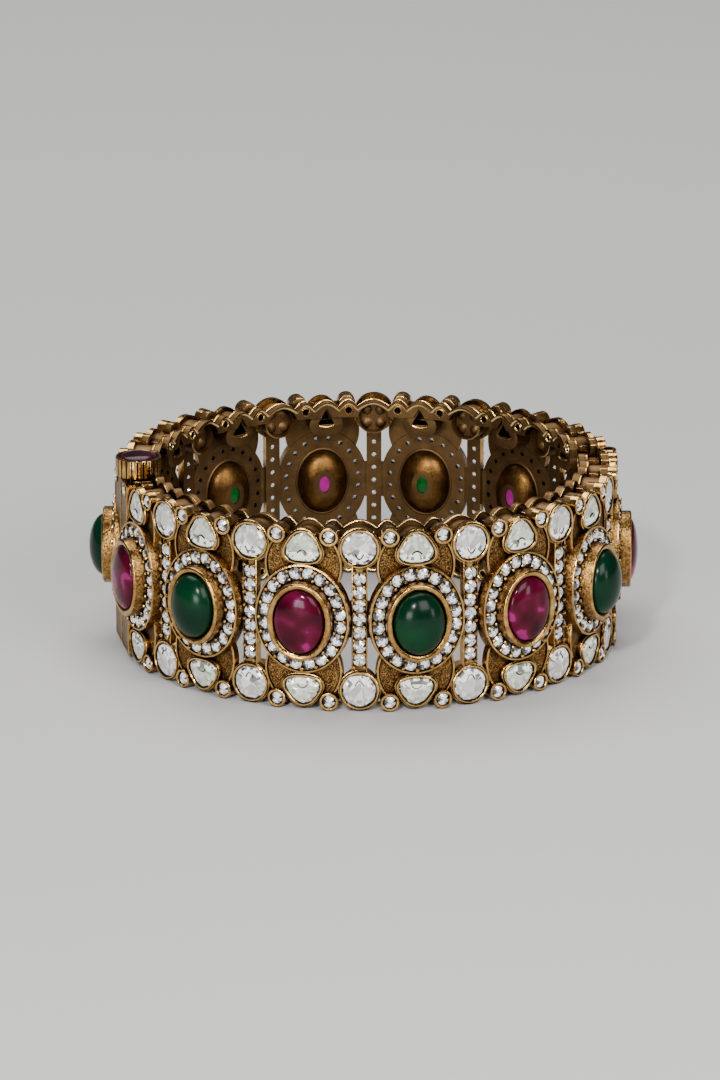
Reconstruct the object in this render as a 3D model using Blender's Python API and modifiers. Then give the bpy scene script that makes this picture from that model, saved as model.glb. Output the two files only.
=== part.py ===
# Gemstone bangle: two hinged halves of seven oval units each, closed by a thumb screw.
# Metres, +Z up. The origin lies on the band's axis, in the plane that the bangle stands on.
# A unit is modelled facing -Y and turned round the axis. Bar 0 faces -Y, and the count runs to the right.

from math import atan2, cos, pi, radians, sin, tan

import bmesh
import bpy
from mathutils import Matrix

MM = 0.001

# Band: fourteen units, with an oval halfway between each two bars
UNITS = 14
PITCH = 2 * pi / UNITS
INNER_RADIUS = 28.9 * MM
BAND_HEIGHT = 25.3 * MM
MID_HEIGHT = BAND_HEIGHT / 2
GAP = 0.3 * MM
OVERLAP = 0.35 * MM

# Scalloped ribbon along the inner edge of each rim, and the connectors that carry it
RIBBON_WALL = 1.0 * MM
RIBBON_HEIGHT = 2.4 * MM
RIBBON_INSET = 0.12 * MM
SCALLOP_DEPTH = 1.0 * MM
SCALLOP_FLAT = 1.0 * MM
DIP_SHARE = 0.69
CONNECTOR_WIDTH = 1.3 * MM
CONNECTOR_HEIGHT = 1.2 * MM
CONNECTOR_STEP = 0.45 * MM
RIM_POCKET = 2.6 * MM

# Plates: radii count outwards from the plates' back
PLATE_BACK = INNER_RADIUS + RIBBON_WALL + RIM_POCKET
PLATE_THICKNESS = 0.9 * MM
PLATE_FACE = PLATE_BACK + PLATE_THICKNESS
DISC_TUCK = 0.1 * MM
DISC_INSET = 0.5 * MM
BAR_WIDTH = 2.1 * MM
BAR_RISE = 0.35 * MM
BAR_TUCK = 0.8 * MM
BRIDGE_HEIGHT = 5.0 * MM
BRIDGE_REACH = 0.7 * MM

# How far the backs of what joins the plates stand in front of the plates' own back
BAR_STEP = 0.09 * MM
WEB_STEP = 0.12 * MM
BRIDGE_STEP = 0.17 * MM
ROUND_STEP = 0.2 * MM

# Rim stones, each with its bezel: a bezel rises above the plates' face, and a stone above its bezel
ROUND_STONE = 2.2 * MM
ROUND_WALL = 0.6 * MM
ROUND_RISE = 0.3 * MM
PEAR_HALF_WIDTH = 2.25 * MM
PEAR_HALF_HEIGHT = 1.95 * MM
PEAR_WALL = 0.6 * MM
PEAR_RISE = 0.5 * MM
PEAR_INSET = 0.3 * MM
PEAR_LOBE = 0.12
TABLE_SHARE = 0.6
CROWN_HEIGHT = 0.3 * MM

# Oval unit: cabochon, its tall bezel and the halo plate round it
STONE_HALF_WIDTH = 3.3 * MM
STONE_HALF_HEIGHT = 4.25 * MM
STONE_GIRDLE = 0.9 * MM
STONE_CLEARANCE = 0.25 * MM
LOW_DOME = 0.9 * MM
HIGH_DOME = 1.95 * MM
BEZEL_WALL = 0.8 * MM
BEZEL_RISE = 1.7 * MM
SEAT_DEPTH = 1.2 * MM
HALO_BAND = 1.95 * MM
HALO_RISE = 1.0 * MM
BACK_DOME_DEPTH = 2.2 * MM
BACK_DOME_MARGIN = 0.2 * MM
TIP_HALF_WIDTH = 0.75 * MM
TIP_HALF_HEIGHT = 1.1 * MM

# Clasp: a column of three knuckles behind the plates at bar -3, and the thumb screw that passes down it
CLASP_BAR = -3
COLUMN_WIDTH = 5.2 * MM
COLUMN_DEPTH = 4.1 * MM
COLUMN_INSET = 0.8 * MM
COLUMN_ROUNDING = 0.9 * MM
MIDDLE_KNUCKLE = 9.0 * MM
CLASP_PLATE = 5.0 * MM
CLASP_PLATE_WALL = 0.7 * MM
CLASP_PLATE_INSET = 0.17 * MM
SCREW_OFFSET = 0.55 * MM
PIN_RADIUS = 0.7 * MM
PIN_CLEARANCE = 0.3 * MM
PIN_END = 4.0 * MM
KNOB_RADIUS = 3.1 * MM
KNOB_HEIGHT = 2.5 * MM
KNOB_FLUTES = 24
FLUTE_DEPTH = 0.25 * MM
KNOB_STONE = 2.15 * MM
KNOB_SEAT = 0.8 * MM
KNOB_DOME = 0.5 * MM

# Hinge: a barrel of three knuckles in the place of the bar opposite the clasp, with a plain pin
HINGE_BAR = CLASP_BAR + UNITS // 2
BARREL_RADIUS = 1.15 * MM
BARREL_INSET = 0.6 * MM
BARREL_MIDDLE = 9.0 * MM
HINGE_PLATE = 3.6 * MM
HINGE_PLATE_INSET = 0.35 * MM
HINGE_PIN = 0.45 * MM
HINGE_CLEARANCE = 0.2 * MM
HINGE_PIN_INSET = 0.2 * MM

# Places worked out from the sizes above
BEZEL_HALF_WIDTH = STONE_HALF_WIDTH + STONE_CLEARANCE + BEZEL_WALL
BEZEL_HALF_HEIGHT = STONE_HALF_HEIGHT + STONE_CLEARANCE + BEZEL_WALL
HALO_HALF_WIDTH = BEZEL_HALF_WIDTH + HALO_BAND
HALO_HALF_HEIGHT = BEZEL_HALF_HEIGHT + HALO_BAND
HALO_FACE = PLATE_FACE + HALO_RISE
BEZEL_FACE = HALO_FACE + BEZEL_RISE
SEAT_RADIUS = BEZEL_FACE - SEAT_DEPTH
ROUND_BEZEL = ROUND_STONE + ROUND_WALL
DISC_RADIUS = PLATE_FACE * tan(PITCH / 2) - ROUND_BEZEL + DISC_TUCK
DISC_CENTRE = BAND_HEIGHT - DISC_INSET - DISC_RADIUS
ROUND_CENTRE = BAND_HEIGHT - ROUND_BEZEL
PEAR_CENTRE = BAND_HEIGHT - PEAR_INSET - PEAR_HALF_HEIGHT - PEAR_WALL
BAR_TOP = ROUND_CENTRE - ROUND_BEZEL + BAR_TUCK
PEAK = BAND_HEIGHT - RIBBON_INSET
COLUMN_TOP = BAND_HEIGHT - COLUMN_INSET
COLUMN_AXIS = INNER_RADIUS + COLUMN_DEPTH / 2
COLUMN_FACE = COLUMN_AXIS + COLUMN_DEPTH / 2
SCREW_AXIS = COLUMN_AXIS + SCREW_OFFSET
CLASP_FACE = max(COLUMN_FACE + GAP + CLASP_PLATE_WALL, PLATE_FACE)
KNOB_BOTTOM = COLUMN_TOP + GAP
KNOB_TOP = KNOB_BOTTOM + KNOB_HEIGHT
HINGE_AXIS = PLATE_BACK + BARREL_RADIUS
BARREL_TOP = BAND_HEIGHT - BARREL_INSET

FACE_OUT = Matrix.Rotation(pi / 2, 4, "X")
FLIP = Matrix.Translation((0, 0, BAND_HEIGHT)) @ Matrix.Diagonal((1, 1, -1, 1))

# Sides of the round and oval outlines
OVAL_SIDES = 12
DISC_SIDES = 10
DOME_SIDES = 12
DOME_RINGS = 3
BACK_SIDES = 8
BACK_RINGS = 2
PEAR_SIDES = 9
ROUND_SIDES = 8
PIN_SIDES = 8
BORE_SIDES = 8
TIP_SIDES = 6
FLAT_ANGLE = radians(1)


def new_collection(name):
    made = bpy.data.collections.new(name)
    bpy.context.scene.collection.children.link(made)
    return made


def new_material(name, colour, roughness, metallic):
    material = bpy.data.materials.new(name)
    material.use_nodes = True
    shader = material.node_tree.nodes["Principled BSDF"]
    shader.inputs["Base Color"].default_value = (*colour, 1)
    shader.inputs["Roughness"].default_value = roughness
    shader.inputs["Metallic"].default_value = metallic
    return material


def new_object(name, mesh, collection):
    obj = bpy.data.objects.new(name, mesh)
    collection.objects.link(obj)
    return obj


def helper(name, bm, helpers):
    """Object left out of a render, made of the bmesh, which it frees."""
    mesh = bpy.data.meshes.new(name)
    bm.to_mesh(mesh)
    bm.free()
    obj = new_object(name, mesh, helpers)
    obj.hide_render = True
    obj.display_type = "WIRE"
    return obj


def finished(name, mesh, parts, material):
    """Named part in its material."""
    mesh.name = name
    mesh.materials.clear()
    mesh.materials.append(material)
    mesh.shade_smooth()
    mesh.set_sharp_from_angle(angle=radians(30))
    return new_object(name, mesh, parts)


def prism(sides, half_width, half_height, back, face):
    """Oval prism from radius back to radius face, centred at height 0, with a flat side lowest."""
    bm = bmesh.new()
    spin = Matrix.Rotation(pi + pi / sides, 4, "Z")
    bmesh.ops.create_cone(
        bm, cap_ends=True, segments=sides, radius1=1, radius2=1, depth=face - back, matrix=spin
    )
    flat = cos(pi / sides)
    bmesh.ops.scale(bm, vec=(half_width / flat, half_height / flat, 1), verts=bm.verts)
    bmesh.ops.translate(bm, vec=(0, 0, (back + face) / 2), verts=bm.verts)
    return bm


def box(width, height, back, face):
    bm = bmesh.new()
    bmesh.ops.create_cube(bm, size=1)
    bmesh.ops.scale(bm, vec=(width, height, face - back), verts=bm.verts)
    bmesh.ops.translate(bm, vec=(0, 0, (back + face) / 2), verts=bm.verts)
    return bm


def outer_face(bm):
    return max(bm.faces, key=lambda face: face.calc_center_median().z)


def set_stone(bm, wall, stone_half):
    """Turns a prism's outer face into a bezel's rim and a cut stone with a ring of facets and a table."""
    table = outer_face(bm)
    bmesh.ops.inset_region(bm, faces=[table], thickness=wall, use_even_offset=True)
    crown = stone_half * (1 - TABLE_SHARE)
    bmesh.ops.inset_region(
        bm, faces=[table], thickness=crown, depth=CROWN_HEIGHT, use_even_offset=True
    )
    return bm


def flipped(bm):
    """Moves a piece to the other rim."""
    bmesh.ops.transform(bm, matrix=FLIP, verts=bm.verts)
    bmesh.ops.reverse_faces(bm, faces=bm.faces)
    return bm


def place(bm, height, turn=0.0, flip=False):
    """Stands a piece that was modelled flat at its height, turned from -Y, or at the other rim with flip."""
    where = Matrix.Rotation(turn, 4, "Z") @ Matrix.Translation((0, 0, height)) @ FACE_OUT
    bmesh.ops.transform(bm, matrix=where, verts=bm.verts)
    return flipped(bm) if flip else bm


def pear_prism(half_width, half_height, back, face):
    """Rounded triangle with its point up."""
    bm = prism(PEAR_SIDES, 1, 1, back, face)
    for vert in bm.verts:
        side, up = vert.co.x, vert.co.y
        vert.co.xy *= 1 + PEAR_LOBE * (up**3 - 3 * side * side * up)
    widest = max(vert.co.x for vert in bm.verts)
    lowest = min(vert.co.y for vert in bm.verts)
    highest = max(vert.co.y for vert in bm.verts)
    middle = (lowest + highest) / 2
    bmesh.ops.translate(bm, vec=(0, -middle, 0), verts=bm.verts)
    grow = (half_width / widest, half_height / (highest - middle), 1)
    bmesh.ops.scale(bm, vec=grow, verts=bm.verts)
    return bm


def upright(radius, sides, bottom, top):
    bm = bmesh.new()
    bmesh.ops.create_cone(
        bm, cap_ends=True, segments=sides, radius1=radius, radius2=radius, depth=top - bottom
    )
    bmesh.ops.translate(bm, vec=(0, 0, (bottom + top) / 2), verts=bm.verts)
    return bm


def half_dome(sides, rings, half_width, half_height, rise):
    """Half of an ellipsoid on the plane z = 0, its cap downwards."""
    bm = bmesh.new()
    bmesh.ops.create_uvsphere(bm, u_segments=sides, v_segments=2 * rings, radius=1)
    lower = [vert for vert in bm.verts if vert.co.z < -1e-4]
    bmesh.ops.delete(bm, geom=lower, context="VERTS")
    rim = [edge for edge in bm.edges if edge.is_boundary]
    bmesh.ops.holes_fill(bm, edges=rim)
    bmesh.ops.scale(bm, vec=(half_width, half_height, rise), verts=bm.verts)
    return bm


def evaluated(obj):
    """Mesh of the object with its modifiers applied, in world space."""
    graph = bpy.context.evaluated_depsgraph_get()
    mesh = bpy.data.meshes.new_from_object(obj.evaluated_get(graph))
    mesh.transform(obj.matrix_world)
    return mesh


def union(pieces, cutters=()):
    """Mesh of the pieces made one, less the cutters."""
    base, rest = pieces[0], pieces[1:]
    for operation, others in (("UNION", rest), ("DIFFERENCE", cutters)):
        for other in others:
            modifier = base.modifiers.new(other.name, "BOOLEAN")
            modifier.operation = operation
            modifier.object = other
            modifier.solver = "EXACT"
    mesh = evaluated(base)
    base.modifiers.clear()
    bm = bmesh.new()
    bm.from_mesh(mesh)
    bmesh.ops.dissolve_limit(bm, angle_limit=FLAT_ANGLE, verts=bm.verts, edges=bm.edges)
    bm.to_mesh(mesh)
    bm.free()
    return mesh


def connector(flip, helpers):
    back = INNER_RADIUS + RIBBON_WALL / 2
    piece = box(CONNECTOR_WIDTH, CONNECTOR_HEIGHT, back, PLATE_BACK + OVERLAP)
    height = PEAK - CONNECTOR_STEP - CONNECTOR_HEIGHT / 2
    return helper("connector", place(piece, height, 0.0, flip), helpers)


def oval_unit(helpers):
    """Halo plate, cabochon bezel, domed back, discs and pear settings, facing -Y."""
    pieces = []

    def add(name, bm, height=MID_HEIGHT, flip=False):
        pieces.append(helper(name, place(bm, height, 0.0, flip), helpers))

    add("halo", prism(OVAL_SIDES, HALO_HALF_WIDTH, HALO_HALF_HEIGHT, PLATE_BACK, HALO_FACE))
    back = PLATE_BACK + OVERLAP
    add("bezel", prism(OVAL_SIDES, BEZEL_HALF_WIDTH, BEZEL_HALF_HEIGHT, back, BEZEL_FACE))
    half_width = STONE_HALF_WIDTH + BACK_DOME_MARGIN
    half_height = STONE_HALF_HEIGHT + BACK_DOME_MARGIN
    dome = half_dome(BACK_SIDES, BACK_RINGS, half_width, half_height, -BACK_DOME_DEPTH)
    bmesh.ops.reverse_faces(dome, faces=dome.faces)
    bmesh.ops.translate(dome, vec=(0, 0, PLATE_BACK + OVERLAP), verts=dome.verts)
    add("back_dome", dome)
    for flip in (False, True):
        disc = prism(DISC_SIDES, DISC_RADIUS, DISC_RADIUS, PLATE_BACK, PLATE_FACE)
        add("disc", disc, DISC_CENTRE, flip)
        half_width = PEAR_HALF_WIDTH + PEAR_WALL
        half_height = PEAR_HALF_HEIGHT + PEAR_WALL
        pear = pear_prism(half_width, half_height, PLATE_FACE - OVERLAP, PLATE_FACE + PEAR_RISE)
        set_stone(pear, PEAR_WALL, PEAR_HALF_HEIGHT)
        add("pear", pear, PEAR_CENTRE, flip)
        pieces.append(connector(flip, helpers))
    half_width = STONE_HALF_WIDTH + STONE_CLEARANCE
    half_height = STONE_HALF_HEIGHT + STONE_CLEARANCE
    seat = prism(OVAL_SIDES, half_width, half_height, SEAT_RADIUS, BEZEL_FACE + OVERLAP)
    tip = prism(TIP_SIDES, TIP_HALF_WIDTH, TIP_HALF_HEIGHT, INNER_RADIUS, SEAT_RADIUS + OVERLAP)
    cutters = [helper("seat", place(seat, MID_HEIGHT), helpers)]
    cutters.append(helper("tip_hole", place(tip, MID_HEIGHT), helpers))
    return union(pieces, cutters)


def bar_unit(helpers):
    """Upright bar with a round setting at each end and the bridge that joins it to the halos beside it."""
    length = 2 * BAR_TOP - BAND_HEIGHT
    bar = box(BAR_WIDTH, length, PLATE_BACK + BAR_STEP, PLATE_FACE + BAR_RISE)
    pieces = [helper("bar", place(bar, MID_HEIGHT), helpers)]
    halo_gap = PLATE_BACK * sin(PITCH / 2) - HALO_HALF_WIDTH * cos(PITCH / 2)
    width = 2 * max(halo_gap + BRIDGE_REACH, BAR_WIDTH / 2 + OVERLAP)
    bridge = box(width, BRIDGE_HEIGHT, PLATE_BACK + BRIDGE_STEP, PLATE_FACE)
    pieces.append(helper("bridge", place(bridge, MID_HEIGHT), helpers))
    for flip in (False, True):
        setting = prism(
            ROUND_SIDES, ROUND_BEZEL, ROUND_BEZEL, PLATE_BACK + ROUND_STEP, PLATE_FACE + ROUND_RISE
        )
        set_stone(setting, ROUND_WALL, ROUND_STONE)
        pieces.append(helper("round", place(setting, ROUND_CENTRE, 0.0, flip), helpers))
        pieces.append(connector(flip, helpers))
    return union(pieces)


def scallop(first_bar, last_bar):
    """Turn and height of each corner of a rim between two bars' places: a peak at each quarter of the pitch."""
    flat = SCALLOP_FLAT / INNER_RADIUS
    dip = DIP_SHARE * PITCH / 4
    end = GAP / 2 / INNER_RADIUS
    corners = [(first_bar * PITCH + end, PEAK)]
    for half in range(2 * first_bar, 2 * last_bar):
        turn, after = half * PITCH / 2, (half + 1) * PITCH / 2
        corners += [(turn + flat, PEAK), (turn + dip, PEAK - SCALLOP_DEPTH), ((turn + after) / 2, PEAK)]
        corners += [(after - dip, PEAK - SCALLOP_DEPTH), (after - flat, PEAK)]
    return corners + [(last_bar * PITCH - end, PEAK)]


def ribbon(first_bar, last_bar, flip, helpers):
    """Scalloped strip between two bars' places, with its wall from Solidify."""
    corners = scallop(first_bar, last_bar)
    bm = bmesh.new()
    bmesh.ops.create_grid(bm, x_segments=len(corners) - 1, y_segments=1, size=1)
    columns = sorted(bm.verts, key=lambda vert: (round(vert.co.x, 5), vert.co.y))
    for index, (turn, height) in enumerate(corners):
        for vert, level in zip(columns[2 * index : 2 * index + 2], (PEAK - RIBBON_HEIGHT, height)):
            vert.co = (INNER_RADIUS * sin(turn), -INNER_RADIUS * cos(turn), level)
    if flip:
        flipped(bm)
    bm.normal_update()
    strip = helper("ribbon", bm, helpers)
    wall = strip.modifiers.new("Wall", "SOLIDIFY")
    wall.thickness = RIBBON_WALL
    wall.offset = 1
    return strip


def turned(obj, bar):
    obj.rotation_euler.z = bar * PITCH
    return obj


def copies(name, mesh, places, helpers):
    made = []
    for bar in places:
        copy = new_object(name, mesh, helpers)
        copy.hide_render = True
        copy.display_type = "WIRE"
        made.append(turned(copy, bar))
    return made


def knuckle(bottom, top, grown, helpers):
    """Length of the clasp column, or with grown the space that clears it."""
    depth = COLUMN_DEPTH / 2 + grown
    bm = box(COLUMN_WIDTH + 2 * grown, top - bottom + 2 * grown, COLUMN_AXIS - depth, COLUMN_AXIS + depth)
    if not grown:
        upright_edges = [edge for edge in bm.edges if edge.verts[0].co.y != edge.verts[1].co.y]
        bmesh.ops.bevel(
            bm, geom=upright_edges, offset=COLUMN_ROUNDING, segments=2, profile=0.5, affect="EDGES"
        )
    return turned(helper("knuckle", place(bm, (bottom + top) / 2), helpers), CLASP_BAR)


def barrel(bottom, top, grown, helpers):
    """Length of the hinge barrel, or with grown the space that clears it."""
    bm = upright(BARREL_RADIUS + grown, DOME_SIDES, bottom - grown, top + grown)
    bmesh.ops.translate(bm, vec=(0, -HINGE_AXIS, 0), verts=bm.verts)
    return turned(helper("barrel", bm, helpers), HINGE_BAR)


def web(bar, start, end, inset, face, helpers):
    """Plate beside a bar's place, from one distance along the band to another."""
    bm = box(end - start, BAND_HEIGHT - 2 * inset, PLATE_BACK + WEB_STEP, face)
    bmesh.ops.translate(bm, vec=((start + end) / 2, 0, 0), verts=bm.verts)
    return turned(helper("web", place(bm, MID_HEIGHT), helpers), bar)


def bore(radius, axis, bottom, top, bar, helpers):
    """Round cutter whose flat sides are a radius from its axis."""
    bm = upright(radius / cos(pi / BORE_SIDES), BORE_SIDES, bottom, top)
    bmesh.ops.translate(bm, vec=(0, -axis, 0), verts=bm.verts)
    return turned(helper("bore", bm, helpers), bar)


def slot(half_width, helpers):
    """Way out of the middle knuckle for the screw's pin, open towards the front half."""
    bm = box(COLUMN_WIDTH, MIDDLE_KNUCKLE + 2 * GAP, SCREW_AXIS - half_width, SCREW_AXIS + half_width)
    bmesh.ops.translate(bm, vec=(COLUMN_WIDTH / 2, 0, 0), verts=bm.verts)
    return turned(helper("slot", place(bm, MID_HEIGHT), helpers), CLASP_BAR)


def frames(parts, helpers, gold):
    """The two soldered halves."""
    oval = oval_unit(helpers)
    bar = bar_unit(helpers)
    knuckle_low = MID_HEIGHT - MIDDLE_KNUCKLE / 2
    knuckle_high = MID_HEIGHT + MIDDLE_KNUCKLE / 2
    outer_knuckles = ((COLUMN_INSET, knuckle_low - GAP), (knuckle_high + GAP, COLUMN_TOP))
    outer_room = ((0, knuckle_low - GAP), (knuckle_high + GAP, BAND_HEIGHT))
    barrel_low = MID_HEIGHT - BARREL_MIDDLE / 2
    barrel_high = MID_HEIGHT + BARREL_MIDDLE / 2
    outer_barrels = ((BARREL_INSET, barrel_low - GAP), (barrel_high + GAP, BARREL_TOP))
    last_bar = CLASP_BAR + UNITS
    pin_room = PIN_RADIUS + PIN_CLEARANCE
    clasp_inset = COLUMN_INSET + CLASP_PLATE_INSET
    hinge_inset = BARREL_INSET + HINGE_PLATE_INSET
    hinge_face = PLATE_FACE - WEB_STEP

    shared_cutters = [
        bore(KNOB_RADIUS + GAP, SCREW_AXIS, KNOB_BOTTOM - GAP / 2, KNOB_TOP, CLASP_BAR, helpers),
        bore(pin_room, SCREW_AXIS, PIN_END - GAP, KNOB_TOP, CLASP_BAR, helpers),
        bore(HINGE_PIN + HINGE_CLEARANCE, HINGE_AXIS, -GAP, BAND_HEIGHT + GAP, HINGE_BAR, helpers),
    ]

    front = copies("oval_unit", oval, [k + 0.5 for k in range(CLASP_BAR, HINGE_BAR)], helpers)
    front += copies("bar_unit", bar, range(CLASP_BAR + 1, HINGE_BAR), helpers)
    front += [ribbon(CLASP_BAR, HINGE_BAR, flip, helpers) for flip in (False, True)]
    front += [knuckle(low, high, 0, helpers) for low, high in outer_knuckles]
    front += [barrel(low, high, 0, helpers) for low, high in outer_barrels]
    front.append(web(CLASP_BAR, GAP / 2, CLASP_PLATE, clasp_inset, CLASP_FACE, helpers))
    front.append(web(HINGE_BAR, -HINGE_PLATE, 0, hinge_inset, hinge_face, helpers))
    cutters = [knuckle(knuckle_low, knuckle_high, GAP, helpers)]
    cutters.append(barrel(barrel_low, barrel_high, GAP, helpers))
    finished("front_frame", union(front, cutters + shared_cutters), parts, gold)

    back = copies("oval_unit", oval, [k + 0.5 for k in range(HINGE_BAR, last_bar)], helpers)
    back += copies("bar_unit", bar, range(HINGE_BAR + 1, last_bar), helpers)
    back += [ribbon(HINGE_BAR, last_bar, flip, helpers) for flip in (False, True)]
    back.append(knuckle(knuckle_low, knuckle_high, 0, helpers))
    back.append(barrel(barrel_low, barrel_high, 0, helpers))
    back.append(web(CLASP_BAR, -CLASP_PLATE, -GAP / 2, clasp_inset, CLASP_FACE, helpers))
    back.append(web(HINGE_BAR, 0, HINGE_PLATE, hinge_inset, hinge_face, helpers))
    cutters = [knuckle(low, high, GAP, helpers) for low, high in outer_room]
    cutters += [barrel(low, high, GAP, helpers) for low, high in outer_barrels]
    cutters.append(slot(pin_room, helpers))
    finished("back_frame", union(back, cutters + shared_cutters), parts, gold)


def cabochon(sides, half_width, half_height, girdle, dome):
    """Domed stone standing on z = 0, with an upright girdle."""
    bm = half_dome(sides, DOME_RINGS, half_width, half_height, dome)
    base = min(bm.faces, key=lambda face: face.calc_center_median().z)
    bmesh.ops.translate(bm, vec=(0, 0, girdle), verts=bm.verts)
    lowered = bmesh.ops.extrude_discrete_faces(bm, faces=[base])["faces"]
    bmesh.ops.translate(bm, vec=(0, 0, -girdle), verts=lowered[0].verts)
    return bm


def mesh_of(bm):
    mesh = bpy.data.meshes.new("stone")
    bm.to_mesh(mesh)
    bm.free()
    return mesh


def cabochons(parts, ruby, emerald):
    """Oval stones, ruby and emerald by turns, each clear of its bezel by the stone clearance."""
    seat = SEAT_RADIUS + STONE_CLEARANCE
    for number in range(UNITS):
        green = number % 2 == 0
        dome = HIGH_DOME if green else LOW_DOME
        stone = cabochon(DOME_SIDES, STONE_HALF_WIDTH, STONE_HALF_HEIGHT, STONE_GIRDLE, dome)
        bmesh.ops.translate(stone, vec=(0, 0, seat), verts=stone.verts)
        place(stone, MID_HEIGHT)
        name = f"cabochon_{number:02d}"
        turned(finished(name, mesh_of(stone), parts, emerald if green else ruby), number + 0.5)


def clasp_screw(parts, helpers, gold, ruby):
    """Fluted knob with its pin, and the round stone in its top."""
    knob = upright(KNOB_RADIUS, 2 * KNOB_FLUTES, KNOB_BOTTOM, KNOB_TOP)
    valleys = 1 - FLUTE_DEPTH / KNOB_RADIUS
    flute = pi / KNOB_FLUTES
    for vert in knob.verts:
        if round(atan2(vert.co.y, vert.co.x) / flute) % 2:
            vert.co.x *= valleys
            vert.co.y *= valleys
    pin = upright(PIN_RADIUS, PIN_SIDES, PIN_END, KNOB_BOTTOM + OVERLAP)
    seat = upright(KNOB_STONE + STONE_CLEARANCE, DOME_SIDES, KNOB_TOP - KNOB_SEAT, KNOB_TOP + GAP)
    pieces = [helper("knob", knob, helpers), helper("pin", pin, helpers)]
    mesh = union(pieces, [helper("knob_seat", seat, helpers)])
    stone = cabochon(DOME_SIDES, KNOB_STONE, KNOB_STONE, KNOB_SEAT - STONE_CLEARANCE, KNOB_DOME)
    screw = finished("clasp_screw", mesh, parts, gold)
    jewel = finished("knob_stone", mesh_of(stone), parts, ruby)
    turn = CLASP_BAR * PITCH
    screw.location = (SCREW_AXIS * sin(turn), -SCREW_AXIS * cos(turn), 0)
    jewel.location = screw.location
    jewel.location.z = KNOB_TOP - KNOB_SEAT + STONE_CLEARANCE


def hinge_pin(parts, gold):
    bm = upright(HINGE_PIN, PIN_SIDES, BARREL_INSET + HINGE_PIN_INSET, BARREL_TOP - HINGE_PIN_INSET)
    made = finished("hinge_pin", mesh_of(bm), parts, gold)
    turn = HINGE_BAR * PITCH
    made.location = (HINGE_AXIS * sin(turn), -HINGE_AXIS * cos(turn), 0)


def main():
    for obj in list(bpy.data.objects):
        bpy.data.objects.remove(obj)
    parts = new_collection("gemstone_bangle")
    helpers = new_collection("cutters")
    gold = new_material("antique_gold", (0.36, 0.21, 0.07), 0.35, 1.0)
    ruby = new_material("ruby_glass", (0.28, 0.01, 0.08), 0.06, 0.0)
    emerald = new_material("emerald_glass", (0.0, 0.11, 0.03), 0.08, 0.0)
    frames(parts, helpers, gold)
    cabochons(parts, ruby, emerald)
    clasp_screw(parts, helpers, gold, ruby)
    hinge_pin(parts, gold)


main()
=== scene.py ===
import random
from math import atan2, cos, hypot, pi, radians, sin

import bpy
from mathutils import Matrix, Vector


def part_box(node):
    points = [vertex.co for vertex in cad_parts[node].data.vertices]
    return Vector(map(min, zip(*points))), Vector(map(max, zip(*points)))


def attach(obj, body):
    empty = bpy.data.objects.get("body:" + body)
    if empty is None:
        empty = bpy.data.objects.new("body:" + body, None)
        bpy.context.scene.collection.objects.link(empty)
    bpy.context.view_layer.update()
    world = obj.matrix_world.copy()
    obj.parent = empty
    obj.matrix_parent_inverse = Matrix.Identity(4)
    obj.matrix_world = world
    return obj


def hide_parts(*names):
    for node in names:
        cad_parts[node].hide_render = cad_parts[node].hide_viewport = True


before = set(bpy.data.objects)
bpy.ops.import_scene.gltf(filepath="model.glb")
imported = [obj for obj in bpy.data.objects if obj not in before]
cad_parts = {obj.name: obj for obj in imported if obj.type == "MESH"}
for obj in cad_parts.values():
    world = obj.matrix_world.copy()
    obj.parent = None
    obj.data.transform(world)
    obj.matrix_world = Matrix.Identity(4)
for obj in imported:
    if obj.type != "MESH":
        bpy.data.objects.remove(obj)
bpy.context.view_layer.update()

# Pieces are modelled on a bench in millimetres: x along the band, y up from mid-height, z out from the axis.
# Setting them out turns them into their places round the band, in metres.
mm = 0.001
frameLow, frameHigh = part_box("front_frame")
midHeight = (frameLow.z + frameHigh.z) / 2
unitCount = sum(name.startswith("cabochon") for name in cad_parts)
pitch = 2 * pi / unitCount
chance = random.Random(14)

band = {
    "halfHeight": midHeight / mm,
    "inner": 28.9,      # inside of the ribbon
    "ribbonWall": 1.0,
    "plateBack": 32.5,
    "plateFace": 33.4,
    "cutBack": 30,      # cutters go right through the plates
    "cutFace": 36,
    "claspBar": -3,
    "hingeBar": 4,
}
halves = {
    "front": {
        "body": "front_half", "node": "front_frame",
        "first": band["claspBar"], "last": band["hingeBar"],
    },
    "back": {
        "body": "back_half", "node": "back_frame",
        "first": band["hingeBar"], "last": band["claspBar"] + unitCount,
    },
}


# materials
def linear(hexCode):
    parts = [int(hexCode[i:i + 2], 16) / 255 for i in (1, 3, 5)]
    return [part / 12.92 if part <= 0.04045 else ((part + 0.055) / 1.055) ** 2.4 for part in parts] + [1]


def fillInputs(tree, node, inputs):
    for name, value in inputs.items():
        if isinstance(value, bpy.types.NodeSocket):
            tree.links.new(value, node.inputs[name])
        else:
            node.inputs[name].default_value = value


def addNode(tree, kind, settings={}, inputs={}):
    node = tree.nodes.new(kind)
    for name, value in settings.items():
        setattr(node, name, value)
    fillInputs(tree, node, inputs)
    return node


def addRamp(tree, share, stops):
    ramp = addNode(tree, "ShaderNodeValToRGB", {}, {"Fac": share})
    elements = ramp.color_ramp.elements
    while len(elements) < len(stops):
        elements.new(1)
    for element, (position, colour) in zip(elements, stops):
        element.position = position
        element.color = linear(colour)
    return ramp.outputs["Color"]


def addNoise(tree, where, size, detail=2):
    # lumps of the given size in millimetres
    scale = 1 / (size * mm)
    noise = addNode(tree, "ShaderNodeTexNoise", {}, {"Vector": where, "Scale": scale, "Detail": detail})
    return noise.outputs["Fac"]


def mixColours(tree, share, first, second):
    mix = addNode(tree, "ShaderNodeMix", {"data_type": "RGBA"}, {0: share, 6: first, 7: second})
    return mix.outputs[2]


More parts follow.
